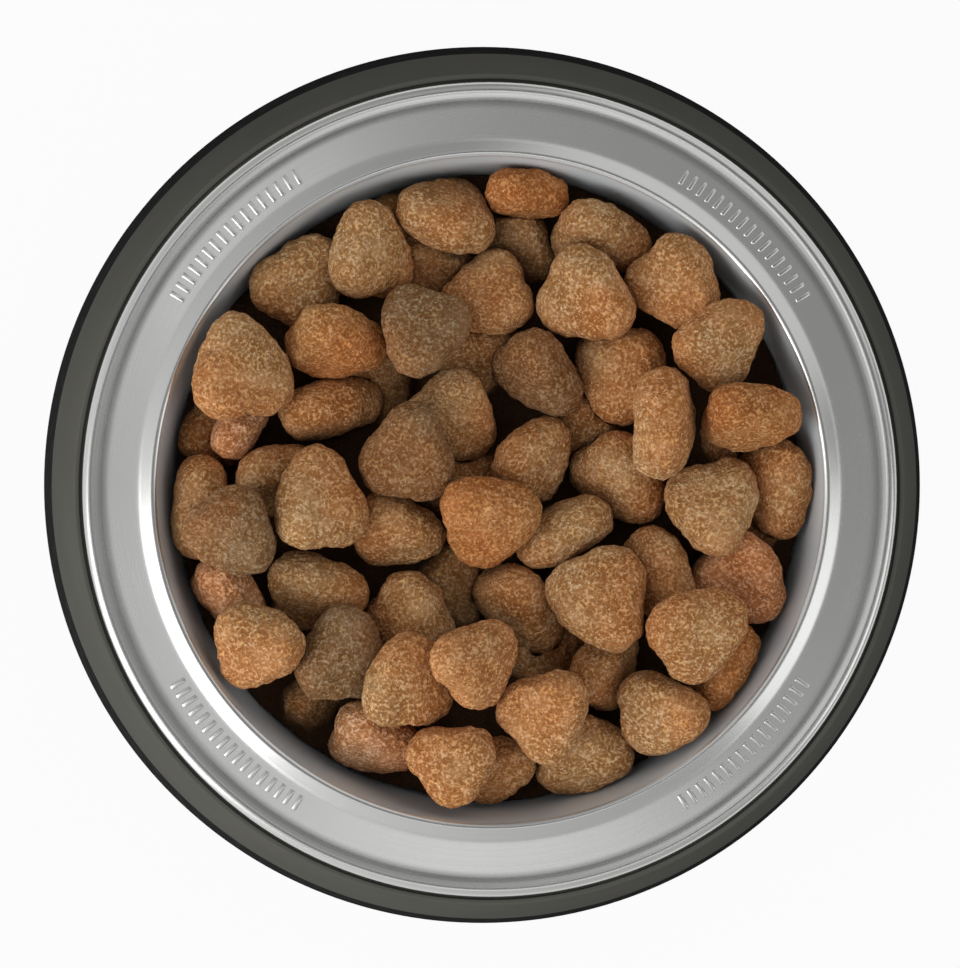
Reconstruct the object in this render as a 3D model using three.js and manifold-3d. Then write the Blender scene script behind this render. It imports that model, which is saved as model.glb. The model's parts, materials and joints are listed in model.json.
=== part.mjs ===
// Pet bowl filled with kibble: a pressed steel bowl that drops into a flared moulded base with a rubber foot ring.
// Millimetres, +Z up. The origin lies on the floor, on the bowl's axis.
import * as THREE from "three";
import { mergeVertices } from "three/addons/utils/BufferGeometryUtils.js";
import Module from "manifold-3d";

// Whole object
const HEIGHT = 50; // floor to the top of the lip
const CLEAR = 0.3; // play between pieces that touch
const FACETS = 40; // flats round each turned piece

// Steel bowl, pressed from one sheet
const SHEET = 0.7;
const MOUTH_RADIUS = 59.4; // innermost point of the lip
const LIP_ROUND = 1; // radius of the mouth's edge
const LIP_WIDTH = 3.3; // from the mouth to the flat rim
const LIP_SLOPE = 25; // degrees that the lip falls outwards
const RIM_FLAT = 5.9; // width of the flat rim
const RIM_FALL = 0.75; // how far the flat rim drops on its way out
const GROOVE_WIDTH = 2.2; // level hollow between the flat rim and the bead
const BEAD_ROUND = 1.45; // radius of the rolled edge
const BEAD_FROM = 120; // degrees where the bead rises out of the groove
const BEAD_TO = -170; // and where its roll ends under the rim
const WALL_DRAFT = 8; // degrees that the wall leans out
const FLOOR_HEIGHT = 9; // inside of the bowl's floor
const FLOOR_FILLET = 11; // inside radius between floor and wall

// Moulded base, open below
const BASE_WALL = 3.2;
const BASE_EDGE = 1; // width of the edge that stands round the bead
const BEAD_GAP = 0.6; // shadow gap between the bead and that edge
const SEAT_DEPTH = 0.9; // how deep the bead drops behind the edge
const SEAT_WIDTH = 3.8; // shelf under the bead
const SEAT_THICK = 2.4;
const EDGE_ROUND = 0.45;
const BASE_FLARE = 5.6; // how far the wall leans out from the edge to the shoulder

// Rubber foot ring, a channel round the base's lower edge
const RING_HEIGHT = 13.7;
const RING_WALL = 2;
const RING_SOLE = 3; // rubber under the base
const RING_FLARE = 2.2; // how far the ring leans out from the shoulder to the floor
const RING_INNER_HEIGHT = 8;
const RING_ROUND = 0.9;

// Kibble, a rounded three-cornered pillow
const KIBBLE_LENGTH = 17.8;
const KIBBLE_WIDTH = 17;
const KIBBLE_THICK = 9.4;
const KIBBLE_CORNER = 0.12; // how far its three corners stand out of a circle
const KIBBLE_NOTCH = 0.12; // depth of the dent opposite its point
const NOTCH_SHARP = 6; // more makes that dent narrower
const KIBBLE_PILLOW = 0.65; // 1 is a ball, less has flatter faces
const KIBBLE_SIDES = 12;
const KIBBLE_BANDS = 4;

// Heap of kibble
const BED_BELOW_LIP = 16; // top of the buried kibble, under the lip
const LOW_SHOWS = 7; // how far the lowest visible kibbles stand out of the bed
const HEAP_BELOW_LIP = 2; // tops of the kibbles that stand on edge, under the lip
const CELL = 0.35; // grid on which the heap's height is kept
const WAYS = 8; // directions in which a kibble may lean or move
const LEANS = [9, 18, 27]; // degrees that it may lean to lie lower
const NUDGES = [0.05, 0.1, 0.15, 0.2]; // shares of its length that it may move aside to lie lower
const NUDGE_COST = 0.6; // rise that a kibble accepts before it moves, against that move
const LEAN_COST = 0.003; // and before it leans, as a share of its thickness for each degree

const STEEL = { color: 0xb9bcbd, roughness: 0.28, metalness: 1 };
const BASE_PLASTIC = { color: 0x3b3b38, roughness: 0.45, metalness: 0 };
const RING_RUBBER = { color: 0x161616, roughness: 0.7, metalness: 0 };
const TAN = { color: 0xa8754a, roughness: 0.9, metalness: 0 };
const GINGER = { color: 0xb5743a, roughness: 0.9, metalness: 0 };
const RUSSET = { color: 0xa1623f, roughness: 0.9, metalness: 0 };
const OLIVE = { color: 0x8d7752, roughness: 0.9, metalness: 0 };

// Each kibble: place as shares of the mouth radius, turn of its long axis, how far it stands on edge
// (both in degrees), size against the usual kibble, and tone. Lower ones come first.
const LOW_KIBBLES = [
  [-0.3, 0.87, 30, 30, 0.9],
  [-0.18, 0.66, 0, 20, 0.9],
  [-0.05, 0.4, 20, 10, 0.95],
  [-0.34, 0.32, 60, 20, 0.9],
  [-0.88, 0.19, 80, 20, 0.85],
  [-0.52, -0.65, 45, 50, 0.85],
  [-0.11, -0.3, 70, 20, 0.9],
  [-0.1, 0.04, 0, 20, 0.95],
  [0.08, 0.75, -40, 30, 0.95],
  [0.27, 0.19, -20, 20, 0.9],
  [0.77, 0.14, 40, 20, 0.9],
  [0.75, -0.13, 0, 20, 0.9],
  [0.18, -0.5, 60, 20, 0.9],
];
const TOP_KIBBLES = [
  [-0.62, 0.66, 60, 20, 0.98, TAN],
  [0, 0.59, 200, 28, 0.95, TAN],
  [-0.76, 0.19, 60, 85, 0.8, RUSSET],
  [-0.92, 0, 86, 90, 1.03, TAN],
  [-0.68, 0.06, 20, 45, 0.95, TAN],
  [-0.29, -0.13, -10, 45, 0.93, TAN],
  [-0.84, -0.3, -48, 75, 0.93, RUSSET],
  [-0.58, -0.31, -5, 52, 1.05, TAN],
  [-0.26, -0.37, -40, 37, 0.97, TAN],
  [-0.38, -0.8, -15, 55, 0.96, RUSSET],
  [0.27, -0.8, -3, 40, 1, TAN],
  [0.1, 0.9, -5, 80, 0.85, GINGER],
  [0.29, 0.8, -20, 45, 1, TAN],
  [0.51, 0.67, -50, 30, 0.98, TAN],
  [0.7, 0.51, 50, 12, 0.98, TAN],
  [0.4, 0.36, -90, 20, 1, TAN],
  [0.13, 0.08, 60, 42, 0.9, TAN],
  [0.38, 0.05, -45, 45, 1.05, TAN],
  [0.88, 0.02, -80, 72, 1.03, TAN],
  [0.24, -0.11, 28, 88, 1.02, TAN],
  [0.81, -0.29, -45, 26, 1, RUSSET],
  [0.1, -0.34, -52, 58, 1.08, TAN],
  [0.35, -0.55, 68, 60, 0.93, TAN],
  [0.72, -0.55, 58, 85, 0.95, GINGER],
  [0.03, -0.89, 20, 35, 0.82, TAN],
  [0.5, -0.72, 0, 25, 0.95, TAN],
  [-0.12, -0.83, 30, 25, 0.9, TAN],
  [-0.51, -0.04, 97, 50, 1.05, TAN],
  [-0.11, 0.84, 175, 50, 1, TAN],
  [-0.37, 0.72, 95, 10, 0.98, TAN],
  [-0.53, 0.21, 12, 66, 1.06, TAN],
  [-0.8, 0.38, 100, 44, 1.08, TAN],
  [-0.53, 0.45, -10, 62, 1.03, GINGER],
  [-0.26, 0.49, 250, 15, 0.96, OLIVE],
  [-0.09, 0.22, -40, 12, 1.02, TAN],
  [-0.31, 0.1, 80, 21, 1.01, OLIVE],
  [-0.78, -0.12, -42, 40, 0.97, OLIVE],
  [0, -0.1, 10, 30, 1.01, GINGER],
  [-0.45, -0.46, 80, 44, 1.01, OLIVE],
  [-0.7, -0.53, 0, 18, 0.95, TAN],
  [-0.25, -0.63, 88, 20, 1, TAN],
  [0.16, -0.68, 40, 15, 0.95, TAN],
  [0.28, 0.6, -30, 15, 1.02, TAN],
  [0.78, 0.29, 0, 40, 1, GINGER],
  [0.56, 0.24, 93, 78, 1.1, TAN],
  [0.16, 0.34, -45, 30, 0.98, OLIVE],
  [0.67, -0.01, -80, 15, 1, TAN],
  [0.55, -0.21, -62, 64, 1.03, TAN],
  [0.33, -0.29, -65, 12, 1.08, TAN],
  [0.57, -0.47, 28, 40, 1.03, TAN],
  [-0.04, -0.53, 45, 8, 0.94, TAN],
];

const wasm = await Module();
wasm.setup();

const radians = THREE.MathUtils.degToRad;
const point = (r, z) => new THREE.Vector2(r, z);

// Points on an arc in a section, from one angle to another, in degrees.
function arc(centre, radius, from, to, steps) {
  return Array.from({ length: steps + 1 }, (_, i) => {
    const a = radians(from + ((to - from) * i) / steps);
    return point(centre.x + radius * Math.cos(a), centre.y + radius * Math.sin(a));
  });
}

// The point at an angle on an arc, in degrees.
function onArc(centre, radius, angle) {
  return arc(centre, radius, angle, angle, 1)[0];
}

// A geometry with its shared corners merged and its collapsed triangles dropped.
function welded(geometry) {
  geometry.deleteAttribute("normal");
  geometry.deleteAttribute("uv");
  const merged = mergeVertices(geometry);
  const kept = [];
  for (let i = 0; i < merged.index.count; i += 3) {
    const [a, b, c] = merged.index.array.slice(i, i + 3);
    if (a !== b && b !== c && c !== a) kept.push(a, b, c);
  }
  return merged.setIndex(kept);
}

// A section turned about the Z axis.
function turned(section) {
  const outward = THREE.ShapeUtils.area(section) < 0 ? section.toReversed() : section;
  return welded(new THREE.LatheGeometry(outward, FACETS).rotateX(Math.PI / 2));
}

// A ring's section, closed on itself and turned about the Z axis.
function turnedRing(section) {
  return turned([...section, section[0].clone()]);
}

// Places on the steel bowl
const draft = radians(WALL_DRAFT);
const lip = point(MOUTH_RADIUS + LIP_ROUND, HEIGHT - LIP_ROUND);
const lipTop = onArc(lip, LIP_ROUND, 90 - LIP_SLOPE);
const lipFace = MOUTH_RADIUS + LIP_WIDTH - lipTop.x;
const lipEnd = point(lipTop.x + lipFace, lipTop.y - lipFace * Math.tan(radians(LIP_SLOPE)));
const rimEnd = point(lipEnd.x + RIM_FLAT, lipEnd.y - RIM_FALL);
const bead = point(rimEnd.x + GROOVE_WIDTH, rimEnd.y).sub(onArc(point(0, 0), BEAD_ROUND, BEAD_FROM));
const rimRadius = bead.x + BEAD_ROUND;
const roundsAcross = LIP_ROUND + FLOOR_FILLET;
const wallDrop = lip.y - FLOOR_HEIGHT - FLOOR_FILLET + roundsAcross * Math.sin(draft);
const fillet = point(
  lip.x - roundsAcross * Math.cos(draft) - wallDrop * Math.tan(draft),
  FLOOR_HEIGHT + FLOOR_FILLET,
);

// Inside radius of the bowl's wall at a height, above the floor's fillet.
function wallRadius(z) {
  return lip.x - LIP_ROUND / Math.cos(draft) - (lip.y - z) * Math.tan(draft);
}

function steelBowl() {
  return turned([
    point(0, FLOOR_HEIGHT),
    ...arc(fillet, FLOOR_FILLET, -90, -WALL_DRAFT, 4),
    ...arc(lip, LIP_ROUND, 180 - WALL_DRAFT, 90 - LIP_SLOPE, 4),
    lipEnd,
    rimEnd,
    ...arc(bead, BEAD_ROUND, BEAD_FROM, BEAD_TO, 8),
    point(rimEnd.x, rimEnd.y - SHEET),
    point(lipEnd.x, lipEnd.y - SHEET),
    ...arc(lip, LIP_ROUND - SHEET, 90 - LIP_SLOPE, 180 - WALL_DRAFT, 2),
    ...arc(fillet, FLOOR_FILLET + SHEET, -WALL_DRAFT, -90, 4),
    point(0, FLOOR_HEIGHT - SHEET),
  ]);
}

// Places on the base and the foot ring
const seatHeight = bead.y - BEAD_ROUND - CLEAR;
const edgeInside = rimRadius + BEAD_GAP;
const edgeOutside = edgeInside + BASE_EDGE;
const edgeHeight = seatHeight + SEAT_DEPTH;
const shoulder = point(edgeOutside + BASE_FLARE, RING_HEIGHT + CLEAR);
const baseBottom = RING_SOLE + CLEAR;
const ringOutside = (z) => shoulder.x + RING_FLARE * (1 - z / RING_HEIGHT);
const tuckedOutside = (z) => ringOutside(z) - RING_WALL - CLEAR;
const baseToe = point(tuckedOutside(baseBottom) - BASE_WALL, baseBottom);
const underSeat = point(edgeOutside - BASE_WALL, seatHeight - SEAT_THICK);
const baseInside = (z) => THREE.MathUtils.mapLinear(z, baseToe.y, underSeat.y, baseToe.x, underSeat.x);

function baseShell() {
  const edge = point(edgeOutside - EDGE_ROUND, edgeHeight - EDGE_ROUND);
  return turnedRing([
    point(edgeInside, seatHeight),
    point(edgeInside, edgeHeight),
    ...arc(edge, EDGE_ROUND, 90, 0, 2),
    shoulder,
    point(tuckedOutside(shoulder.y), shoulder.y),
    point(tuckedOutside(baseBottom), baseBottom),
    baseToe,
    underSeat,
    point(edgeInside - SEAT_WIDTH, underSeat.y),
    point(edgeInside - SEAT_WIDTH, seatHeight),
  ]);
}

function footRing() {
  const top = point(ringOutside(RING_HEIGHT) - RING_ROUND, RING_HEIGHT - RING_ROUND);
  const toe = point(ringOutside(0) - RING_ROUND, RING_ROUND);
  const innerFace = (z) => baseInside(z) - CLEAR;
  return turnedRing([
    ...arc(top, RING_ROUND, 90, 0, 3),
    ...arc(toe, RING_ROUND, 0, -90, 3),
    point(innerFace(RING_SOLE) - RING_WALL + RING_ROUND, 0),
    point(innerFace(RING_SOLE) - RING_WALL, RING_ROUND),
    point(innerFace(RING_INNER_HEIGHT) - RING_WALL, RING_INNER_HEIGHT),
    point(innerFace(RING_INNER_HEIGHT), RING_INNER_HEIGHT),
    point(innerFace(RING_SOLE), RING_SOLE),
    point(ringOutside(RING_SOLE) - RING_WALL, RING_SOLE),
    point(ringOutside(RING_HEIGHT) - RING_WALL, RING_HEIGHT),
  ]);
}

// The buried kibble, which fills the bowl up to the bed.
const bedTop = HEIGHT - BED_BELOW_LIP;

function bedMass() {
  return turned([
    point(0, FLOOR_HEIGHT + CLEAR),
    ...arc(fillet, FLOOR_FILLET - CLEAR, -90, -WALL_DRAFT, 3),
    point(wallRadius(bedTop) - CLEAR / Math.cos(draft), bedTop),
    point(0, bedTop),
  ]);
}

// One kibble about its own centre, its long axis along X, grown all round by extra.
function kibbleShape(size, extra) {
  const half = new THREE.Vector3(KIBBLE_LENGTH, KIBBLE_WIDTH, KIBBLE_THICK).multiplyScalar(size / 2);
  half.x /= 1 - KIBBLE_NOTCH / 2;
  half.addScalar(extra);
  const shape = welded(new THREE.SphereGeometry(1, KIBBLE_SIDES, KIBBLE_BANDS).rotateX(Math.PI / 2));
  const at = shape.attributes.position;
  for (let i = 0; i < at.count; i++) {
    const v = new THREE.Vector3().fromBufferAttribute(at, i);
    const around = Math.atan2(v.y, v.x);
    const notch = KIBBLE_NOTCH * Math.max(0, -Math.cos(around)) ** NOTCH_SHARP;
    const outline = 1 + KIBBLE_CORNER * Math.cos(3 * around) - notch;
    const out = outline * Math.hypot(v.x, v.y) ** KIBBLE_PILLOW;
    const up = Math.sign(v.z) * Math.abs(v.z) ** KIBBLE_PILLOW;
    v.set(out * Math.cos(around), out * Math.sin(around), up).multiply(half);
    at.setXYZ(i, v.x, v.y, v.z);
  }
  return shape;
}

// Top of what lies in the bowl, cell by cell. At first that is the wall alone.
const reach = Math.ceil(MOUTH_RADIUS / CELL) + 1;
const across = 2 * reach + 1;
const heap = new Float64Array(across * across);
for (let i = 0; i < heap.length; i++) {
  const r = CELL * Math.hypot((i % across) - reach, Math.floor(i / across) - reach);
  heap[i] = lip.y + (r - wallRadius(lip.y)) / Math.tan(draft);
}
const heapCell = (column, row) => (row + reach) * across + column + reach;

// The grid's lines between the lowest and the highest of some coordinates.
function gridLines(coordinates) {
  const first = Math.ceil(Math.min(...coordinates) / CELL);
  const last = Math.floor(Math.max(...coordinates) / CELL);
  return Array.from({ length: Math.max(0, last - first + 1) }, (_, i) => first + i);
}

// The cells that a shape covers, each with the shape's lowest and highest point there.
function footprint(shape) {
  const cells = new Map();
  const corner = (k) => new THREE.Vector3().fromBufferAttribute(shape.attributes.position, shape.index.getX(k));
  const place = new THREE.Vector3();
  const shares = new THREE.Vector3();
  for (let t = 0; t < shape.index.count; t += 3) {
    const face = [corner(t), corner(t + 1), corner(t + 2)];
    const heights = new THREE.Vector3(face[0].z, face[1].z, face[2].z);
    face.forEach((v) => v.setZ(0));
    for (const row of gridLines(face.map((v) => v.y))) {
      for (const column of gridLines(face.map((v) => v.x))) {
        place.set(column * CELL, row * CELL, 0);
        if (!THREE.Triangle.getBarycoord(place, ...face, shares)) continue;
        if (Math.min(shares.x, shares.y, shares.z) < 0) continue;
        const z = shares.dot(heights);
        const known = cells.get(heapCell(column, row)) ?? { column, row, low: z, high: z };
        known.low = Math.min(known.low, z);
        known.high = Math.max(known.high, z);
        cells.set(heapCell(column, row), known);
      }
    }
  }
  return [...cells.values()];
}

// The height at which a footprint, brought straight down at a place, meets the heap.
function restingHeight(cells, place) {
  const east = Math.round(place.x / CELL);
  const north = Math.round(place.y / CELL);
  return Math.max(...cells.map((cell) => heap[heapCell(cell.column + east, cell.row + north)] - cell.low));
}

function addToHeap(shape) {
  for (const { column, row, high } of footprint(shape)) {
    heap[heapCell(column, row)] = Math.max(heap[heapCell(column, row)], high);
  }
}

// The level directions in which a kibble may lean or move.
const ways = Array.from({ length: WAYS }, (_, i) => {
  const angle = (2 * Math.PI * i) / WAYS;
  return new THREE.Vector3(Math.cos(angle), Math.sin(angle), 0);
});

// How a kibble lies before it leans: turned, and rolled up on its edge.
function lieOf(turn, stand) {
  return new THREE.Quaternion().setFromEuler(new THREE.Euler(radians(stand), 0, radians(turn), "ZYX"));
}

// The ways that a kibble may lean from how it lies.
function leansOf(lie) {
  const leaning = (axis, lean) => {
    const tilt = new THREE.Quaternion().setFromAxisAngle(axis, radians(lean));
    return { lean, lie: tilt.multiply(lie) };
  };
  return [{ lean: 0, lie }, ...LEANS.flatMap((lean) => ways.map((axis) => leaning(axis, lean)))];
}

// A place in plan and the spots round it, each pulled in where the shape would meet the wall at that height.
function spotsNear(x, y, height, shape) {
  const at = shape.attributes.position;
  const corners = Array.from({ length: at.count }, (_, i) => new THREE.Vector3().fromBufferAttribute(at, i));
  const home = new THREE.Vector3(x, y, 0).multiplyScalar(MOUTH_RADIUS);
  const steps = NUDGES.flatMap((nudge) => ways.map((way) => way.clone().multiplyScalar(nudge * KIBBLE_LENGTH)));
  return [new THREE.Vector3(), ...steps].map((step) => {
    const spot = home.clone().add(step);
    const toWall = spot.clone().normalize().setZ(-Math.tan(draft));
    const spread = Math.max(...corners.map((corner) => corner.dot(toWall)));
    spot.clampLength(0, wallRadius(height) - spread);
    spot.divideScalar(CELL).round().multiplyScalar(CELL).setZ(height);
    return { spot, nudge: step.length() };
  });
}

// A low kibble, sunk in the bed.
function lowKibble([x, y, turn, stand, size]) {
  const lie = lieOf(turn, stand);
  const roomy = kibbleShape(size, 2 * CLEAR).applyQuaternion(lie);
  roomy.computeBoundingBox();
  const height = bedTop + LOW_SHOWS - roomy.boundingBox.max.z;
  const { spot } = spotsNear(x, y, height, roomy)[0];
  return kibbleShape(size, 0).applyQuaternion(lie).translate(...spot);
}

// Where a kibble comes to rest on the bed and the others: with the least rise, nudge and lean.
function restOf([x, y, turn, stand, size]) {
  let best = { cost: Infinity };
  for (const { lean, lie } of leansOf(lieOf(turn, stand))) {
    const roomy = kibbleShape(size, CELL + CLEAR / 2).applyQuaternion(lie);
    roomy.computeBoundingBox();
    const half = roomy.boundingBox.max.z;
    const onBed = Math.min(bedTop + half, HEIGHT - HEAP_BELOW_LIP - half);
    const cells = footprint(roomy);
    for (const { spot, nudge } of spotsNear(x, y, onBed, roomy)) {
      const height = Math.max(onBed, restingHeight(cells, spot));
      const cost = height - onBed + nudge * NUDGE_COST + lean * LEAN_COST * KIBBLE_THICK;
      if (cost < best.cost) best = { cost, lie, spot: spot.setZ(height) };
    }
  }
  return best;
}

function solidOf(geometry) {
  const vertProperties = new Float32Array(geometry.attributes.position.array);
  const triVerts = new Uint32Array(geometry.index.array);
  return new wasm.Manifold(new wasm.Mesh({ numProp: 3, vertProperties, triVerts }));
}

function geometryOf(solid) {
  const { vertProperties, triVerts } = solid.getMesh();
  return new THREE.BufferGeometry()
    .setAttribute("position", new THREE.BufferAttribute(vertProperties, 3))
    .setIndex(new THREE.BufferAttribute(triVerts, 1));
}

// The bed with its low kibbles joined on, then pressed in by the kibbles that reach down into it.
function kibbleBed(lowKibbles, pressedIn) {
  const joined = lowKibbles.reduce((bed, kibble) => bed.add(solidOf(kibble)), solidOf(bedMass()));
  const pressed = pressedIn.reduce((bed, kibble) => bed.subtract(solidOf(kibble)), joined);
  return geometryOf(pressed.decompose().sort((a, b) => b.volume() - a.volume())[0]);
}

const filledBowl = new THREE.Group();

function addPiece(name, geometry, finish) {
  const mesh = new THREE.Mesh(geometry, new THREE.MeshStandardMaterial(finish));
  mesh.name = name;
  filledBowl.add(mesh);
}

addPiece("foot_ring", footRing(), RING_RUBBER);
addPiece("base_shell", baseShell(), BASE_PLASTIC);
addPiece("steel_bowl", steelBowl(), STEEL);

const pressedIn = [];
TOP_KIBBLES.forEach((row, i) => {
  const [, , , , size, tone] = row;
  const { lie, spot } = restOf(row);
  const laid = (extra) => kibbleShape(size, extra).applyQuaternion(lie).translate(...spot);
  addToHeap(laid(0));
  pressedIn.push(laid(CLEAR));
  addPiece(`kibble_${String(i + 1).padStart(2, "0")}`, laid(0), tone);
});
addPiece("kibble_bed", kibbleBed(LOW_KIBBLES.map(lowKibble), pressedIn), TAN);

export default filledBowl;
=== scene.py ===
"""Looks of a pet bowl filled with kibble.

Spun satin steel, a moulded base, a rubber foot ring and baked kibble.
"""
import json
import math
from typing import NamedTuple

import bmesh
import bpy
from bpy.props import FloatProperty, FloatVectorProperty, IntProperty, PointerProperty
from mathutils import Matrix, Vector


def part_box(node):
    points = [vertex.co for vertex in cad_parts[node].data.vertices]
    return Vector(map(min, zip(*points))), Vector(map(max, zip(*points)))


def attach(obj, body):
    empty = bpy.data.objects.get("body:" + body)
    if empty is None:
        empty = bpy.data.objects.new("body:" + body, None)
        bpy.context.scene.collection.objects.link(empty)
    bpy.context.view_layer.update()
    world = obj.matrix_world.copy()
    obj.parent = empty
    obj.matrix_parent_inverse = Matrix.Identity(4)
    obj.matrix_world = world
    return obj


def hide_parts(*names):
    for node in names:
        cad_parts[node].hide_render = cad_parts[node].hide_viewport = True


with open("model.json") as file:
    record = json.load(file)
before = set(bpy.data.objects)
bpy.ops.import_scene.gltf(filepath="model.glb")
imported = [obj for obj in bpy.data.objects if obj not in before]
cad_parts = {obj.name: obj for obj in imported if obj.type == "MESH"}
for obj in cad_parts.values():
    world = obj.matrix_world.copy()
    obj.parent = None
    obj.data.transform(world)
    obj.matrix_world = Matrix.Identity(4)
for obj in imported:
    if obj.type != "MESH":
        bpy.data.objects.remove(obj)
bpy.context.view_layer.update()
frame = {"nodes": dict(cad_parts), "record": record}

bl_info = {
    "name": "Filled pet bowl",
    "version": (1, 0, 0),
    "blender": (4, 5, 0),
    "location": "3D View > Sidebar > Pet bowl",
    "description": "Dresses a steel pet bowl in its base, heaped with kibble",
    "category": "Object",
}

MM = 0.001
WELD = 0.01 * MM  # corners closer than this are one
TURN_STEPS = 240  # steps in a full turn of a spun piece
SHARP_ANGLE = math.radians(40)  # edges that bend further stay sharp
SKY_FADE = (-0.5, 1)  # where the sky is dim and bright, as the cosine of the angle to its bright side
SKY_CAP = (0.965, 0.99)  # where its dark part overhead begins and is full, as the sine of the height
TONES = ("tan", "ginger", "russet", "olive")
BODY = "root"
KIBBLES = sorted(name for name in frame["nodes"] if name.startswith("kibble_") and name != "kibble_bed")
SLOT_OF = {row["node"]: row["material_slot"] for row in frame["record"]["subparts"]}
BOWL_LOW, BOWL_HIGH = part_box("steel_bowl")
BASE_LOW, BASE_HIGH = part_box("base_shell")
_, RING_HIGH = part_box("foot_ring")


class Softbox(NamedTuple):
    """A square lamp that is turned to the bowl."""

    name: str
    place: tuple
    width: float
    watts: float


SOFTBOXES = (
    Softbox("softbox_key", place=(-0.93, -0.5, 0.92), width=0.8, watts=6),
    Softbox("softbox_back", place=(0.85, 0.95, 0.8), width=1.5, watts=4.4),
    Softbox("panel_low", place=(-1.1, -0.7, 0.24), width=0.6, watts=6),
    Softbox("panel_front", place=(0.05, -0.45, 1.5), width=0.5, watts=0.55),
    Softbox("panel_left", place=(-0.32, 0.33, 1.5), width=0.45, watts=0.32),
    Softbox("panel_right", place=(1.2, -0.45, 0.9), width=0.9, watts=3.4),
)


def length(name, description, metres):
    """A size that a user may change."""
    return FloatProperty(
        name=name, description=description, default=metres, min=0, precision=5, unit="LENGTH"
    )


def angle(name, description, degrees):
    """An angle that a user may change."""
    return FloatProperty(
        name=name, description=description, default=math.radians(degrees), unit="ROTATION"
    )


def tint(name, description, colour):
    """A colour that a user may change."""
    return FloatVectorProperty(
        name=name, description=description, default=colour, size=3, min=0, max=1, subtype="COLOR"
    )


def share(name, description, value):
    """A plain share that a user may change."""
    return FloatProperty(name=name, description=description, default=value, min=0, subtype="FACTOR")


class SteelSettings(bpy.types.PropertyGroup):
    """Sizes and finish of the pressed steel bowl."""

    rim_radius: length("Rim radius", "Outside of the rolled bead", BOWL_HIGH.x)
    lip_height: length("Lip height", "Floor to the top of the lip", BOWL_HIGH.z)
    under_floor: length("Under floor", "Height of the bowl's underside", BOWL_LOW.z)
    sheet: length("Sheet", "Thickness of the sheet", 0.7 * MM)
    lip_round: length("Lip round", "Radius of the mouth's edge", 1 * MM)
    lip_width: length("Lip width", "From the mouth to the flat rim", 3.3 * MM)
    lip_slope: angle("Lip slope", "How steeply the lip falls outwards", 25)
    rim_flat: length("Flat rim", "Width of the flat rim", 5.9 * MM)
    rim_fall: length("Rim fall", "How far the flat rim drops on its way out", 0.75 * MM)
    groove: length("Groove", "Width of the level hollow beside the bead", 2.2 * MM)
    bead_round: length("Bead round", "Radius of the rolled edge", 1.45 * MM)
    bead_from: angle("Bead start", "Angle where the bead rises out of the groove", 120)
    bead_to: angle("Bead end", "Angle where its roll ends under the rim", -170)
    ease: length("Ease", "Length of the soft bends in the rim", 0.6 * MM)
    draft: angle("Wall draft", "How far the wall leans out", 8)
    fillet: length("Floor fillet", "Inside radius between floor and wall", 11 * MM)
    rib_length: length("Rib length", "Length of a pressed rib across the rim", 3 * MM)
    rib_width: length("Rib width", "Width of a pressed rib", 0.9 * MM)
    rib_height: length("Rib height", "How far a rib stands out of the rim", 0.28 * MM)
    rib_pitch: length("Rib pitch", "From one rib to the next", 1.9 * MM)
    rib_count: IntProperty(name="Ribs", description="Ribs in each row", default=17, min=2)
    rib_rows: IntProperty(name="Rib rows", description="Rows of ribs round the rim", default=4, min=1)
    rib_bevel: share("Rib bevel", "Rounding of a rib's edges, as a share of its height", 0.9)
    wall_from: length("Wall from", "From the bead's outside to where the duller steel begins", 13.1 * MM)
    wall_full: length("Wall full", "From the bead's outside to where it is fully dull", 13.7 * MM)
    colour: tint("Steel", "Colour of the steel", (0.56, 0.56, 0.55))
    wall_colour: tint("Wall", "Colour of the duller steel inside", (0.64, 0.7, 0.74))
    roughness: share("Steel roughness", "Mean roughness of the satin grain", 0.26)


class BaseSettings(bpy.types.PropertyGroup):
    """Sizes and finish of the moulded base and its rubber foot ring."""

    shoulder_radius: length("Shoulder radius", "Widest part of the base", BASE_HIGH.x)
    edge_height: length("Edge height", "Top of the edge round the bead", BASE_HIGH.z)
    bottom: length("Bottom", "Lowest point of the base", BASE_LOW.z)
    wall: length("Wall", "Thickness of the wall", 3.2 * MM)
    bead_gap: length("Bead gap", "Shadow gap between the bead and the edge", 0.6 * MM)
    edge: length("Edge", "Width of the edge round the bead", 1 * MM)
    edge_round: length("Edge round", "Radius on the edge's outer corner", 0.45 * MM)
    inner_round: length("Inner round", "Radius on the edge's inner corner", 0.15 * MM)
    shoulder_round: length("Shoulder round", "Radius on the corner above the foot ring", 0.3 * MM)
    seat_depth: length("Seat depth", "How deep the bead drops behind the edge", 0.9 * MM)
    seat_width: length("Seat width", "Shelf under the bead", 3.8 * MM)
    seat_thick: length("Seat thickness", "Thickness of that shelf", 2.4 * MM)
    clear: length("Clearance", "Play between pieces that touch", 0.3 * MM)
    ring_radius: length("Ring radius", "Outside of the foot ring on the floor", RING_HIGH.x)
    ring_height: length("Ring height", "Top of the foot ring", RING_HIGH.z)
    ring_wall: length("Ring wall", "Thickness of the ring's walls", 2 * MM)
    ring_sole: length("Ring sole", "Rubber under the base", 3 * MM)
    ring_inner: length("Ring inner height", "Height of the ring's inner wall", 8 * MM)
    ring_round: length("Ring round", "Radius on the ring's corners", 0.9 * MM)
    plastic: tint("Plastic", "Colour of the moulded base", (0.098, 0.097, 0.086))
    rubber: tint("Rubber", "Colour of the foot ring", (0.018, 0.018, 0.018))


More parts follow.
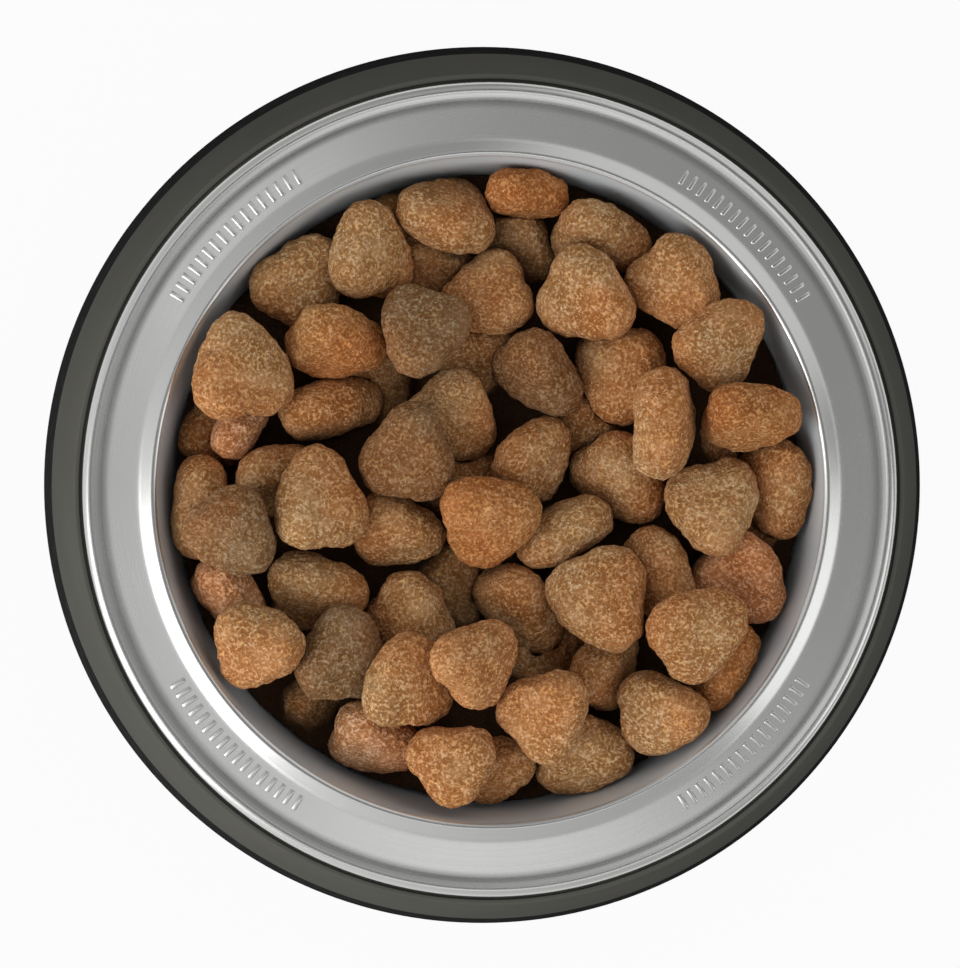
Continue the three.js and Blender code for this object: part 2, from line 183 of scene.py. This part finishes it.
class KibbleSettings(bpy.types.PropertyGroup):
    """Form and finish of the kibble, and the heights of its painted shade."""

    sharpen: share("Sharpening", "How far corners move out, against the pull of the rounding", 0.55)
    levels: IntProperty(name="Levels", description="Subdivision of each kibble", default=3, min=0, max=4)
    voxel: length("Bed voxel", "Cell of the bed's remesh", 0.8 * MM)
    bed_rounds: IntProperty(name="Bed rounds", description="Smoothing passes on the bed", default=4, min=0)
    lump_size: length("Lump size", "Width of the lumps", 7.5 * MM)
    lump_depth: length("Lump depth", "Full height of the lumps", 1.3 * MM)
    crumb_size: length("Crumb size", "Width of the crumbs", 2 * MM)
    crumb_depth: length("Crumb depth", "Full height of the crumbs", 0.75 * MM)
    grain_size: length("Grain size", "Width of the grains", 0.8 * MM)
    grain_depth: length("Grain depth", "Full height of the grains", 0.32 * MM)
    tan: tint("Tan", "The usual tone", (0.385, 0.178, 0.069))
    ginger: tint("Ginger", "The orange tone", (0.352, 0.139, 0.045))
    russet: tint("Russet", "The reddish tone", (0.485, 0.217, 0.098))
    olive: tint("Olive", "The greyish tone", (0.223, 0.109, 0.046))
    # Painted shade: below the low height kibble and bed are painted dark, fading to their full tone at the
    # high height.
    painted_shade_low: length("Dark height", "Below this height the gaps between kibbles are dark", 34 * MM)
    painted_shade_high: length("Light height", "Above this height kibbles show their full tone", 42 * MM)


class StageSettings(bpy.types.PropertyGroup):
    """Camera, floor and light."""

    eye: FloatVectorProperty(
        name="Eye", description="Where the camera stands", default=(-0.0272, 0.0162, 0.956), subtype="XYZ"
    )
    aim: FloatVectorProperty(
        name="Aim", description="Where the camera looks", default=(-0.00054, 0.00028, 0), subtype="XYZ"
    )
    focal_pixels: FloatProperty(
        name="Focal length", description="Focal length in pixels of the picture", default=5083, min=1
    )
    picture_height: IntProperty(
        name="Picture height", description="Height of the picture in pixels", default=968, min=1
    )
    floor_half: length("Floor", "Half the width of the floor", 4)
    floor: tint("Floor", "Colour of the floor", (0.5, 0.5, 0.5))
    floor_glow: share("Floor glow", "How far the floor looks white instead of lit", 0.95)
    bright_side: FloatVectorProperty(
        name="Bright side",
        description="Heading in which the sky is brightest",
        default=(-0.866, -0.5, 0),
        subtype="XYZ",
    )
    sky_dim: share("Dim sky", "Strength of the sky away from its bright side", 0.3)
    sky_bright: share("Bright sky", "Strength of the sky on its bright side", 1.05)
    overhead_dark: share("Dark overhead", "How far the sky is darkened straight overhead", 0.9)


class BowlSettings(bpy.types.PropertyGroup):
    """All settings of the filled bowl."""

    steel: PointerProperty(type=SteelSettings)
    base: PointerProperty(type=BaseSettings)
    kibble: PointerProperty(type=KibbleSettings)
    stage: PointerProperty(type=StageSettings)


class Wire:
    """An output socket that can be used in sums."""

    def __init__(self, tree, socket):
        self.tree = tree
        self.socket = socket

    def maths(self, operation, first, second):
        """The wire from a sum of two wires or numbers."""
        values = {0: first, 1: second}
        return add_node(self.tree, "ShaderNodeMath", {"operation": operation}, values)

    def __add__(self, other):
        return self.maths("ADD", self, other)

    def __radd__(self, other):
        return self.maths("ADD", other, self)

    def __sub__(self, other):
        return self.maths("SUBTRACT", self, other)

    def __rsub__(self, other):
        return self.maths("SUBTRACT", other, self)

    def __mul__(self, other):
        return self.maths("MULTIPLY", self, other)

    def __rmul__(self, other):
        return self.maths("MULTIPLY", other, self)

    def __pow__(self, other):
        return self.maths("POWER", self, other)


def add_node(tree, kind, settings=None, inputs=None, output=0):
    """A node with its settings, and the values or wires of its sockets, as the wire from one output."""
    node = tree.nodes.new(kind)
    for name, value in (settings or {}).items():
        setattr(node, name, value)
    for name, value in (inputs or {}).items():
        if isinstance(value, Wire):
            tree.links.new(value.socket, node.inputs[name])
        else:
            node.inputs[name].default_value = value
    return Wire(tree, node.outputs[output])


class Finish:
    """A material in the making."""

    MIX_FACTOR, MIX_FIRST, MIX_SECOND, MIX_RESULT = 0, 6, 7, 2  # sockets of a node that mixes colours

    def __init__(self, name):
        self.material = bpy.data.materials.new(name)
        self.material.use_nodes = True
        self.tree = self.material.node_tree
        self.tree.nodes.clear()
        self.place = self.add("ShaderNodeTexCoord", output="Object")

    def add(self, kind, settings=None, inputs=None, output=0):
        """A node of this material, as the wire from one output."""
        return add_node(self.tree, kind, settings, inputs, output)

    def noise(self, width, detail, vector=None):
        """Soft noise whose patches are about as wide as given."""
        inputs = {"Vector": vector or self.place, "Scale": 1 / width, "Detail": detail}
        return self.add("ShaderNodeTexNoise", None, inputs)

    def step(self, value, start, end):
        """0 up to the start, 1 past the end and smooth between. The start may be the larger."""
        inputs = {"Value": value, "From Min": start, "From Max": end}
        return self.add("ShaderNodeMapRange", {"interpolation_type": "SMOOTHSTEP"}, inputs)

    def mix(self, factor, first, second, blend="MIX"):
        """A colour between two, or another blend of them."""
        inputs = {self.MIX_FACTOR: factor}
        for socket, colour in ((self.MIX_FIRST, first), (self.MIX_SECOND, second)):
            inputs[socket] = colour if isinstance(colour, Wire) else (*colour, 1)
        settings = {"data_type": "RGBA", "blend_type": blend}
        return self.add("ShaderNodeMix", settings, inputs, self.MIX_RESULT)

    def bump(self, height, depth, strength):
        """A normal from a height between 0 and 1."""
        inputs = {"Height": height, "Distance": depth, "Strength": strength}
        return self.add("ShaderNodeBump", None, inputs, output="Normal")

    def polish(self, inputs):
        """Ends the material with a surface."""
        surface = self.add("ShaderNodeBsdfPrincipled", None, inputs)
        self.add_output(surface)
        return self.material

    def add_output(self, surface):
        """Leads a surface to the material's output."""
        output = self.tree.nodes.new("ShaderNodeOutputMaterial")
        self.tree.links.new(surface.socket, output.inputs["Surface"])


def satin_steel(settings):
    """Stainless steel with the fine rings of its polishing, duller inside the bowl."""
    finish = Finish("Satin steel")
    parts = {axis: finish.add("ShaderNodeSeparateXYZ", None, {0: finish.place}, axis) for axis in "XYZ"}
    radius = (parts["X"] * parts["X"] + parts["Y"] * parts["Y"]) ** 0.5
    along = finish.add("ShaderNodeCombineXYZ", None, {"X": radius, "Y": parts["Z"]})
    rings = finish.noise(width=0.35 * MM, detail=3, vector=along)
    haze = finish.noise(width=14 * MM, detail=3)
    facing = finish.add("ShaderNodeTexCoord", output="Normal")
    upwards = finish.add("ShaderNodeSeparateXYZ", None, {0: facing}, "Z")
    rim = settings.rim_radius
    within = finish.step(radius, start=rim - settings.wall_from, end=rim - settings.wall_full)
    inside = within * finish.step(upwards, start=-0.05, end=0.05)
    return finish.polish(
        {
            "Base Color": finish.mix(inside, settings.colour, settings.wall_colour),
            "Metallic": 1 - inside * 0.75,
            "Roughness": settings.roughness - 0.08 + rings * 0.1 + haze * 0.06 + inside * 0.22,
            "Normal": finish.bump(rings, depth=0.01 * MM, strength=0.6),
        }
    )


def moulded_plastic(settings):
    """Charcoal plastic with a fine spark-eroded grain."""
    finish = Finish("Moulded plastic")
    grain = finish.noise(width=0.35 * MM, detail=2)
    wear = finish.noise(width=18 * MM, detail=4)
    darker = [0.8 * channel for channel in settings.plastic]
    return finish.polish(
        {
            "Base Color": finish.mix(wear, darker, settings.plastic),
            "Roughness": 0.5 + wear * 0.16,
            "Specular IOR Level": 0,
            "Normal": finish.bump(grain, depth=0.02 * MM, strength=0.7),
        }
    )


def foot_rubber(settings):
    """Black rubber, dull and a little dusty."""
    finish = Finish("Foot rubber")
    dust = finish.noise(width=3 * MM, detail=5)
    grain = finish.noise(width=0.5 * MM, detail=2)
    dusty = [1.5 * channel for channel in settings.rubber]
    return finish.polish(
        {
            "Base Color": finish.mix(finish.step(dust, start=0.45, end=0.8), settings.rubber, dusty),
            "Roughness": 0.55 + dust * 0.25,
            "Specular IOR Level": 0,
            "Normal": finish.bump(grain, depth=0.03 * MM, strength=0.8),
        }
    )


def baked_kibble(name, tone, settings):
    """Baked meal in one tone: mottled and sandy, with pale specks, and painted shade low down between the
    kibbles.
    """

    def shade(*parts):
        """The tone, with a factor on each of its channels."""
        return [part * channel for part, channel in zip(parts, tone)]

    crust = shade(0.66, 0.55, 0.36)
    crumb = shade(1.05, 1.12, 1.12)
    warm_meal = shade(1.7, 2.05, 2.2)
    cool_meal = shade(1.6, 2.15, 2.9)
    speck = shade(1.95, 2.8, 4.1)
    # Painted shade: the colour that stands for the shade deep between the kibbles.
    painted_gap_shade = shade(0.1, 0.1, 0.1)
    redder = (1.03, 0.91, 0.83)
    greyer = (0.98, 1.08, 1.16)

    finish = Finish(name)
    height = finish.add("ShaderNodeSeparateXYZ", None, {0: finish.place}, "Z")
    batch = finish.noise(width=20 * MM, detail=1)
    mottle = finish.noise(width=9 * MM, detail=3)
    patches = finish.noise(width=3 * MM, detail=3)
    meal = finish.noise(width=1.2 * MM, detail=2)
    grain = finish.noise(width=0.6 * MM, detail=2)
    specks = finish.step(finish.noise(width=0.52 * MM, detail=1), start=0.575, end=0.75)
    baked = finish.step(mottle * 0.35 + patches * 0.3 + grain * 0.35, start=0.38, end=0.62)
    sandy = finish.step(meal * 0.45 + grain * 0.55, start=0.46, end=0.72)
    # Painted shade fades in below the given heights, darkening low kibbles and the bed as if shaded by
    # those above.
    above_painted_shade = finish.step(height, start=settings.painted_shade_low, end=settings.painted_shade_high)

    ground = finish.mix(baked, crust, crumb)
    pale = finish.mix(finish.step(patches, start=0.4, end=0.6), warm_meal, cool_meal)
    colour = finish.mix(sandy, ground, pale)
    colour = finish.mix(specks * 0.85, colour, speck)
    drift = finish.mix(finish.step(batch, start=0.36, end=0.64), redder, greyer)
    colour = finish.mix(1, colour, drift, "MULTIPLY")
    # Painted shade laid over the meal's colour low down.
    colour = finish.mix(above_painted_shade, painted_gap_shade, colour)
    return finish.polish(
        {
            "Base Color": colour,
            "Roughness": 0.7 + grain * 0.2,
            "Specular IOR Level": 0.12,
            "Sheen Weight": 0.12,
            "Sheen Roughness": 0.4,
            "Sheen Tint": (*speck, 1),
            "Normal": finish.bump(meal + grain * 0.5 + specks * 0.4, depth=0.5 * MM, strength=0.8),
        }
    )


def unit(turn):
    """A step of length 1 in a section, at an angle above level."""
    return Vector((math.cos(turn), math.sin(turn)))


def arc(centre, radius, start, end, steps):
    """Points on an arc of a section, from one angle to another."""
    return [centre + radius * unit(start + (end - start) * i / steps) for i in range(steps + 1)]


def bend(before, corner, after, ease, steps=5):
    """Points that round a corner of a section."""
    start = corner + ease * (before - corner).normalized()
    end = corner + ease * (after - corner).normalized()
    shares = (i / steps for i in range(steps + 1))
    return [start.lerp(corner, t).lerp(corner.lerp(end, t), t) for t in shares]


def spin(section, closed=False):
    """A mesh turned about the bowl's axis from a section of radius and height."""
    mesh = bmesh.new()
    corners = [mesh.verts.new((r, 0, z)) for r, z in section]
    ends = corners[1:] + corners[:1] if closed else corners[1:]
    edges = [mesh.edges.new(pair) for pair in zip(corners, ends)]
    bmesh.ops.spin(
        mesh,
        geom=corners + edges,
        cent=(0, 0, 0),
        axis=(0, 0, 1),
        angle=math.tau,
        steps=TURN_STEPS,
        use_merge=True,
    )
    bmesh.ops.remove_doubles(mesh, verts=mesh.verts, dist=WELD)
    bmesh.ops.recalc_face_normals(mesh, faces=mesh.faces)
    return mesh


def add_piece(name, mesh, material, *nodes):
    """An object from a bmesh, in place of the nodes that it stands for."""
    data = bpy.data.meshes.new(name)
    mesh.to_mesh(data)
    mesh.free()
    data.shade_smooth()
    data.set_sharp_from_angle(angle=SHARP_ANGLE)
    data.materials.append(material)
    piece = bpy.data.objects.new(name, data)
    bpy.context.scene.collection.objects.link(piece)
    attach(piece, BODY)
    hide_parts(*nodes)
    return piece


def settings_of(context):
    """All settings of the filled bowl in a scene."""
    return context.scene.pet_bowl


class BowlSection:
    """Places on the steel bowl's section."""

    def __init__(self, steel):
        bead_start = steel.bead_round * unit(steel.bead_from)
        rim_end = steel.rim_radius - steel.bead_round + bead_start.x - steel.groove
        mouth = rim_end - steel.rim_flat - steel.lip_width
        self.lip = Vector((mouth + steel.lip_round, steel.lip_height - steel.lip_round))
        self.lip_top = self.lip + steel.lip_round * unit(math.pi / 2 - steel.lip_slope)
        face = mouth + steel.lip_width - self.lip_top.x
        self.lip_end = self.lip_top + face * Vector((1, -math.tan(steel.lip_slope)))
        self.rim_end = Vector((rim_end, self.lip_end.y - steel.rim_fall))
        self.groove_end = self.rim_end + Vector((steel.groove, 0))
        self.bead = self.groove_end - bead_start
        rounds = steel.lip_round + steel.fillet
        floor = steel.under_floor + steel.sheet
        drop = self.lip.y - floor - steel.fillet + rounds * math.sin(steel.draft)
        across = rounds * math.cos(steel.draft) + drop * math.tan(steel.draft)
        self.fillet = Vector((self.lip.x - across, floor + steel.fillet))


class PETBOWL_OT_steel_bowl(bpy.types.Operator):
    """Spins the pressed steel bowl and presses ribs into its rim"""

    bl_idname = "pet_bowl.steel_bowl"
    bl_label = "Steel bowl"

    def execute(self, context):
        steel = settings_of(context).steel
        mesh = spin(self.section(steel))
        self.press_ribs(mesh, steel)
        add_piece("spun_steel_bowl", mesh, satin_steel(steel), "steel_bowl")
        return {"FINISHED"}

    def section(self, steel):
        """Points from the middle of the floor over the rim and back under the sheet."""
        at = BowlSection(steel)
        down = -math.pi / 2
        wall = math.pi - steel.draft
        face = math.pi / 2 - steel.lip_slope
        return [
            Vector((0, steel.under_floor + steel.sheet)),
            *arc(at.fillet, steel.fillet, down, -steel.draft, steps=14),
            *arc(at.lip, steel.lip_round, wall, face, steps=14),
            *bend(at.lip_top, at.lip_end, at.rim_end, steel.ease),
            *bend(at.lip_end, at.rim_end, at.groove_end, steel.ease),
            *arc(at.bead, steel.bead_round, steel.bead_from, steel.bead_to, steps=28),
            at.rim_end - Vector((0, steel.sheet)),
            at.lip_end - Vector((0, steel.sheet)),
            *arc(at.lip, steel.lip_round - steel.sheet, face, wall, steps=6),
            *arc(at.fillet, steel.fillet + steel.sheet, -steel.draft, down, steps=14),
            Vector((0, steel.under_floor)),
        ]

    def press_ribs(self, mesh, steel):
        """Rows of small raised ribs across the flat rim."""
        at = BowlSection(steel)
        middle = (at.lip_end + at.rim_end) / 2
        slope = math.atan2(steel.rim_fall, steel.rim_flat)
        step = steel.rib_pitch / middle.x
        for row in range(steel.rib_rows):
            rib = bmesh.ops.create_cube(mesh, size=1)["verts"]
            bmesh.ops.scale(mesh, vec=(steel.rib_length, steel.rib_width, 2 * steel.rib_height), verts=rib)
            edges = {edge for corner in rib for edge in corner.link_edges}
            bevelled = bmesh.ops.bevel(
                mesh,
                geom=list(edges),
                offset=steel.rib_bevel * steel.rib_height,
                segments=3,
                profile=0.5,
                affect="EDGES",
                material=-1,
            )
            faces = bevelled["faces"]
            rib = list({corner for face in faces for corner in face.verts})
            faces = list({face for corner in rib for face in corner.link_faces})
            turn = math.tau * (row + 0.5) / steel.rib_rows - step * (steel.rib_count - 1) / 2
            place = (
                Matrix.Rotation(turn, 4, "Z")
                @ Matrix.Translation((middle.x, 0, middle.y))
                @ Matrix.Rotation(slope, 4, "Y")
            )
            bmesh.ops.transform(mesh, matrix=place, verts=rib)
            bmesh.ops.spin(
                mesh,
                geom=faces,
                cent=(0, 0, 0),
                axis=(0, 0, 1),
                angle=step * (steel.rib_count - 1),
                steps=steel.rib_count - 1,
                use_duplicate=True,
            )


class PETBOWL_OT_base_shell(bpy.types.Operator):
    """Spins the flared moulded base that carries the bowl"""

    bl_idname = "pet_bowl.base_shell"
    bl_label = "Moulded base"

    def execute(self, context):
        settings = settings_of(context)
        mesh = spin(self.section(settings.base, settings.steel), closed=True)
        add_piece("moulded_base", mesh, moulded_plastic(settings.base), "base_shell")
        return {"FINISHED"}

    def section(self, base, steel):
        """Points from the bead's seat over the edge, down the skirt and back up inside."""
        up = math.pi / 2
        inside = steel.rim_radius + base.bead_gap
        outside = inside + base.edge
        seat = base.edge_height - base.seat_depth
        inner = Vector((inside + base.inner_round, base.edge_height - base.inner_round))
        edge = Vector((outside - base.edge_round, base.edge_height - base.edge_round))
        shoulder = Vector((base.shoulder_radius, base.ring_height + base.clear))
        bulge = shoulder + base.shoulder_round * Vector((-1, 1))
        toe_radius = tucked_radius(base, base.bottom)
        return [
            Vector((inside, seat)),
            *arc(inner, base.inner_round, math.pi, up, steps=3),
            *arc(edge, base.edge_round, up, 0, steps=8),
            *arc(bulge, base.shoulder_round, 0, -up, steps=4),
            Vector((tucked_radius(base, shoulder.y), shoulder.y)),
            Vector((toe_radius, base.bottom)),
            Vector((toe_radius - base.wall, base.bottom)),
            Vector((outside - base.wall, seat - base.seat_thick)),
            Vector((inside - base.seat_width, seat - base.seat_thick)),
            Vector((inside - base.seat_width, seat)),
        ]


def ring_outside(base, height):
    """Outside radius of the foot ring at a height."""
    flare = base.ring_radius - base.shoulder_radius
    return base.shoulder_radius + flare * (1 - height / base.ring_height)


def tucked_radius(base, height):
    """Outside radius of the base where it is tucked behind the ring's wall."""
    return ring_outside(base, height) - base.ring_wall - base.clear


class PETBOWL_OT_foot_ring(bpy.types.Operator):
    """Spins the rubber channel round the base's lower edge"""

    bl_idname = "pet_bowl.foot_ring"
    bl_label = "Foot ring"

    def execute(self, context):
        settings = settings_of(context)
        mesh = spin(self.section(settings.base, settings.steel), closed=True)
        add_piece("rubber_foot_ring", mesh, foot_rubber(settings.base), "foot_ring")
        return {"FINISHED"}

    def section(self, base, steel):
        """Points round the channel, from the top of its outer wall."""
        up = math.pi / 2
        rounding = base.ring_round
        seat = base.edge_height - base.seat_depth
        toe = Vector((tucked_radius(base, base.bottom) - base.wall, base.bottom))
        armpit = Vector((steel.rim_radius + base.bead_gap + base.edge - base.wall, seat - base.seat_thick))

        def inner_face(height):
            """Radius of the channel's face that lies along the inside of the base."""
            return toe.x + (armpit.x - toe.x) * (height - toe.y) / (armpit.y - toe.y) - base.clear

        low = inner_face(base.ring_sole) - base.ring_wall
        inner_top = inner_face(base.ring_inner)
        top = Vector((ring_outside(base, base.ring_height) - rounding, base.ring_height - rounding))
        heel = Vector((ring_outside(base, 0) - rounding, rounding))
        return [
            *arc(top, rounding, up, 0, steps=8),
            *arc(heel, rounding, 0, -up, steps=8),
            *arc(Vector((low + rounding, rounding)), rounding, -up, -math.pi, steps=6),
            Vector((inner_top - base.ring_wall, base.ring_inner)),
            Vector((inner_top, base.ring_inner)),
            Vector((inner_face(base.ring_sole), base.ring_sole)),
            Vector((ring_outside(base, base.ring_sole) - base.ring_wall, base.ring_sole)),
            Vector((ring_outside(base, base.ring_height) - base.ring_wall, base.ring_height)),
        ]


def add_roughness(piece, kibble):
    """Lumps, crumbs and grains on a baked surface."""
    layers = (
        ("lumps", kibble.lump_size, kibble.lump_depth),
        ("crumbs", kibble.crumb_size, kibble.crumb_depth),
        ("grains", kibble.grain_size, kibble.grain_depth),
    )
    for name, width, depth in layers:
        texture = bpy.data.textures.get(name) or bpy.data.textures.new(name, "CLOUDS")
        texture.noise_scale = width
        texture.noise_depth = 1
        layer = piece.modifiers.new(name, "DISPLACE")
        layer.texture = texture
        layer.texture_coords = "LOCAL"
        layer.mid_level = 0.5
        layer.strength = depth


def merged_copy(node):
    """A bmesh of a CAD node with its loose triangles joined."""
    mesh = bmesh.new()
    mesh.from_mesh(frame["nodes"][node].data)
    bmesh.ops.remove_doubles(mesh, verts=mesh.verts, dist=WELD)
    return mesh


class PETBOWL_OT_kibbles(bpy.types.Operator):
    """Bakes the loose kibbles of the heap"""

    bl_idname = "pet_bowl.kibbles"
    bl_label = "Kibbles"

    def execute(self, context):
        kibble = settings_of(context).kibble
        tones = {"kibble_" + tone: getattr(kibble, tone) for tone in TONES}
        materials = {slot: baked_kibble("Baked " + slot, tone, kibble) for slot, tone in tones.items()}
        for node in KIBBLES:
            self.bake(node, materials[SLOT_OF[node]], kibble)
        return {"FINISHED"}

    def bake(self, node, material, kibble):
        """Rounds and roughens one kibble of the CAD."""
        mesh = merged_copy(node)
        bmesh.ops.join_triangles(
            mesh, faces=mesh.faces, angle_face_threshold=math.pi, angle_shape_threshold=math.pi
        )
        self.sharpen(mesh, kibble.sharpen)
        piece = add_piece("baked_" + node, mesh, material, node)
        smooth = piece.modifiers.new("round", "SUBSURF")
        smooth.levels = kibble.levels
        smooth.render_levels = kibble.levels
        add_roughness(piece, kibble)

    def sharpen(self, mesh, factor):
        """Moves each corner as far out as smoothing would move it in."""
        before = {corner: corner.co.copy() for corner in mesh.verts}
        bmesh.ops.smooth_vert(
            mesh, verts=mesh.verts, factor=factor, use_axis_x=True, use_axis_y=True, use_axis_z=True
        )
        for corner, place in before.items():
            corner.co = 2 * place - corner.co


class PETBOWL_OT_kibble_bed(bpy.types.Operator):
    """Bakes the kibble that lies deeper in the bowl"""

    bl_idname = "pet_bowl.kibble_bed"
    bl_label = "Kibble bed"

    def execute(self, context):
        kibble = settings_of(context).kibble
        # The bed lies mostly below the painted shade's heights, so it is painted nearly as dark as shade.
        material = baked_kibble("Baked bed", kibble.tan, kibble)
        piece = add_piece("baked_kibble_bed", merged_copy("kibble_bed"), material, "kibble_bed")
        skin = piece.modifiers.new("skin", "REMESH")
        skin.mode = "VOXEL"
        skin.voxel_size = kibble.voxel
        skin.use_smooth_shade = True
        rounding = piece.modifiers.new("round", "SMOOTH")
        rounding.iterations = kibble.bed_rounds
        add_roughness(piece, kibble)
        return {"FINISHED"}


class PETBOWL_OT_stage(bpy.types.Operator):
    """Sets the camera, the pale floor and the soft light"""

    bl_idname = "pet_bowl.stage"
    bl_label = "Stage"

    def execute(self, context):
        stage = settings_of(context).stage
        self.set_camera(context.scene, stage)
        self.lay_floor(stage)
        self.light_sky(context.scene, stage)
        for box in SOFTBOXES:
            self.hang_softbox(box)
        context.scene.view_settings.view_transform = "Standard"
        return {"FINISHED"}

    def set_camera(self, scene, stage):
        """The photo's view from above, with the bowl's back at the top of the picture."""
        lens = bpy.data.cameras.new("camera")
        lens.sensor_fit = "VERTICAL"
        lens.angle = 2 * math.atan(stage.picture_height / 2 / stage.focal_pixels)
        camera = bpy.data.objects.new("camera", lens)
        back = (Vector(stage.eye) - Vector(stage.aim)).normalized()
        right = Vector((0, 1, 0)).cross(back).normalized()
        turn = Matrix((right, back.cross(right), back)).transposed().to_4x4()
        camera.matrix_world = Matrix.Translation(stage.eye) @ turn
        scene.collection.objects.link(camera)
        scene.camera = camera

    def lay_floor(self, stage):
        """A wide floor under the bowl."""
        mesh = bmesh.new()
        bmesh.ops.create_grid(mesh, x_segments=1, y_segments=1, size=stage.floor_half)
        data = bpy.data.meshes.new("floor")
        mesh.to_mesh(data)
        mesh.free()
        data.materials.append(self.floor_finish(stage))
        floor = bpy.data.objects.new("floor", data)
        bpy.context.scene.collection.objects.link(floor)

    def floor_finish(self, stage):
        """A pale floor that looks white and still takes a soft shadow."""
        finish = Finish("Pale floor")
        rays = [f"Is {kind} Ray" for kind in ("Camera", "Glossy", "Transmission")]
        camera, glossy, through = (finish.add("ShaderNodeLightPath", output=ray) for ray in rays)
        seen = camera + glossy + through
        lit = finish.add("ShaderNodeBsdfDiffuse", None, {"Color": (*stage.floor, 1)})
        white = finish.add("ShaderNodeEmission", None, {"Strength": 1})
        mixed = {0: seen * stage.floor_glow, 1: lit, 2: white}
        finish.add_output(finish.add("ShaderNodeMixShader", None, mixed))
        return finish.material

    def light_sky(self, scene, stage):
        """A studio dome that brightens evenly towards one side and is darker straight overhead."""
        world = bpy.data.worlds.new("studio")
        scene.world = world
        world.use_nodes = True
        tree = world.node_tree
        tree.nodes.clear()
        heading = add_node(tree, "ShaderNodeTexCoord", output="Generated")
        sides = {0: heading, 1: stage.bright_side}
        towards = add_node(tree, "ShaderNodeVectorMath", {"operation": "DOT_PRODUCT"}, sides, "Value")
        bright = self.ramp(towards, SKY_FADE, (stage.sky_dim, stage.sky_bright))
        height = add_node(tree, "ShaderNodeSeparateXYZ", None, {0: heading}, "Z")
        overhead = self.ramp(height, SKY_CAP, (0, 1))
        strength = bright * (1 - overhead * stage.overhead_dark)
        sky = add_node(tree, "ShaderNodeBackground", None, {"Color": (1, 1, 1, 1), "Strength": strength})
        output = tree.nodes.new("ShaderNodeOutputWorld")
        tree.links.new(sky.socket, output.inputs["Surface"])

    def ramp(self, value, before, after):
        """A value carried evenly from one range to another."""
        names = ("From Min", "From Max", "To Min", "To Max")
        return add_node(
            value.tree, "ShaderNodeMapRange", None, {"Value": value, **dict(zip(names, (*before, *after)))}
        )

    def hang_softbox(self, box):
        """A lamp that is turned to the bowl."""
        lamp = bpy.data.lights.new(box.name, "AREA")
        lamp.size = box.width
        lamp.energy = box.watts
        softbox = bpy.data.objects.new(box.name, lamp)
        turn = (-Vector(box.place)).to_track_quat("-Z", "Y").to_matrix().to_4x4()
        softbox.matrix_world = Matrix.Translation(box.place) @ turn
        bpy.context.scene.collection.objects.link(softbox)


class PETBOWL_PT_sidebar(bpy.types.Panel):
    """Lists the pieces of the filled bowl"""

    bl_label = "Pet bowl"
    bl_idname = "PETBOWL_PT_sidebar"
    bl_space_type = "VIEW_3D"
    bl_region_type = "UI"
    bl_category = "Pet bowl"

    def draw(self, context):
        settings = settings_of(context)
        for operator in OPERATORS:
            self.layout.operator(operator.bl_idname)
        for group in (settings.steel, settings.base, settings.kibble, settings.stage):
            box = self.layout.box()
            for name in group.__annotations__:
                box.prop(group, name)


GROUPS = (SteelSettings, BaseSettings, KibbleSettings, StageSettings, BowlSettings)
OPERATORS = (
    PETBOWL_OT_foot_ring,
    PETBOWL_OT_base_shell,
    PETBOWL_OT_steel_bowl,
    PETBOWL_OT_kibbles,
    PETBOWL_OT_kibble_bed,
    PETBOWL_OT_stage,
)
CLASSES = (*GROUPS, *OPERATORS, PETBOWL_PT_sidebar)


def register():
    """Adds the settings, operators and panel to Blender."""
    for cls in CLASSES:
        bpy.utils.register_class(cls)
    bpy.types.Scene.pet_bowl = PointerProperty(type=BowlSettings)


def unregister():
    """Takes them out again."""
    del bpy.types.Scene.pet_bowl
    for cls in reversed(CLASSES):
        bpy.utils.unregister_class(cls)


def main():
    """Builds every piece and the stage."""
    register()
    for operator in OPERATORS:
        group, name = operator.bl_idname.split(".")
        getattr(getattr(bpy.ops, group), name)()


if __name__ == "__main__":
    main()
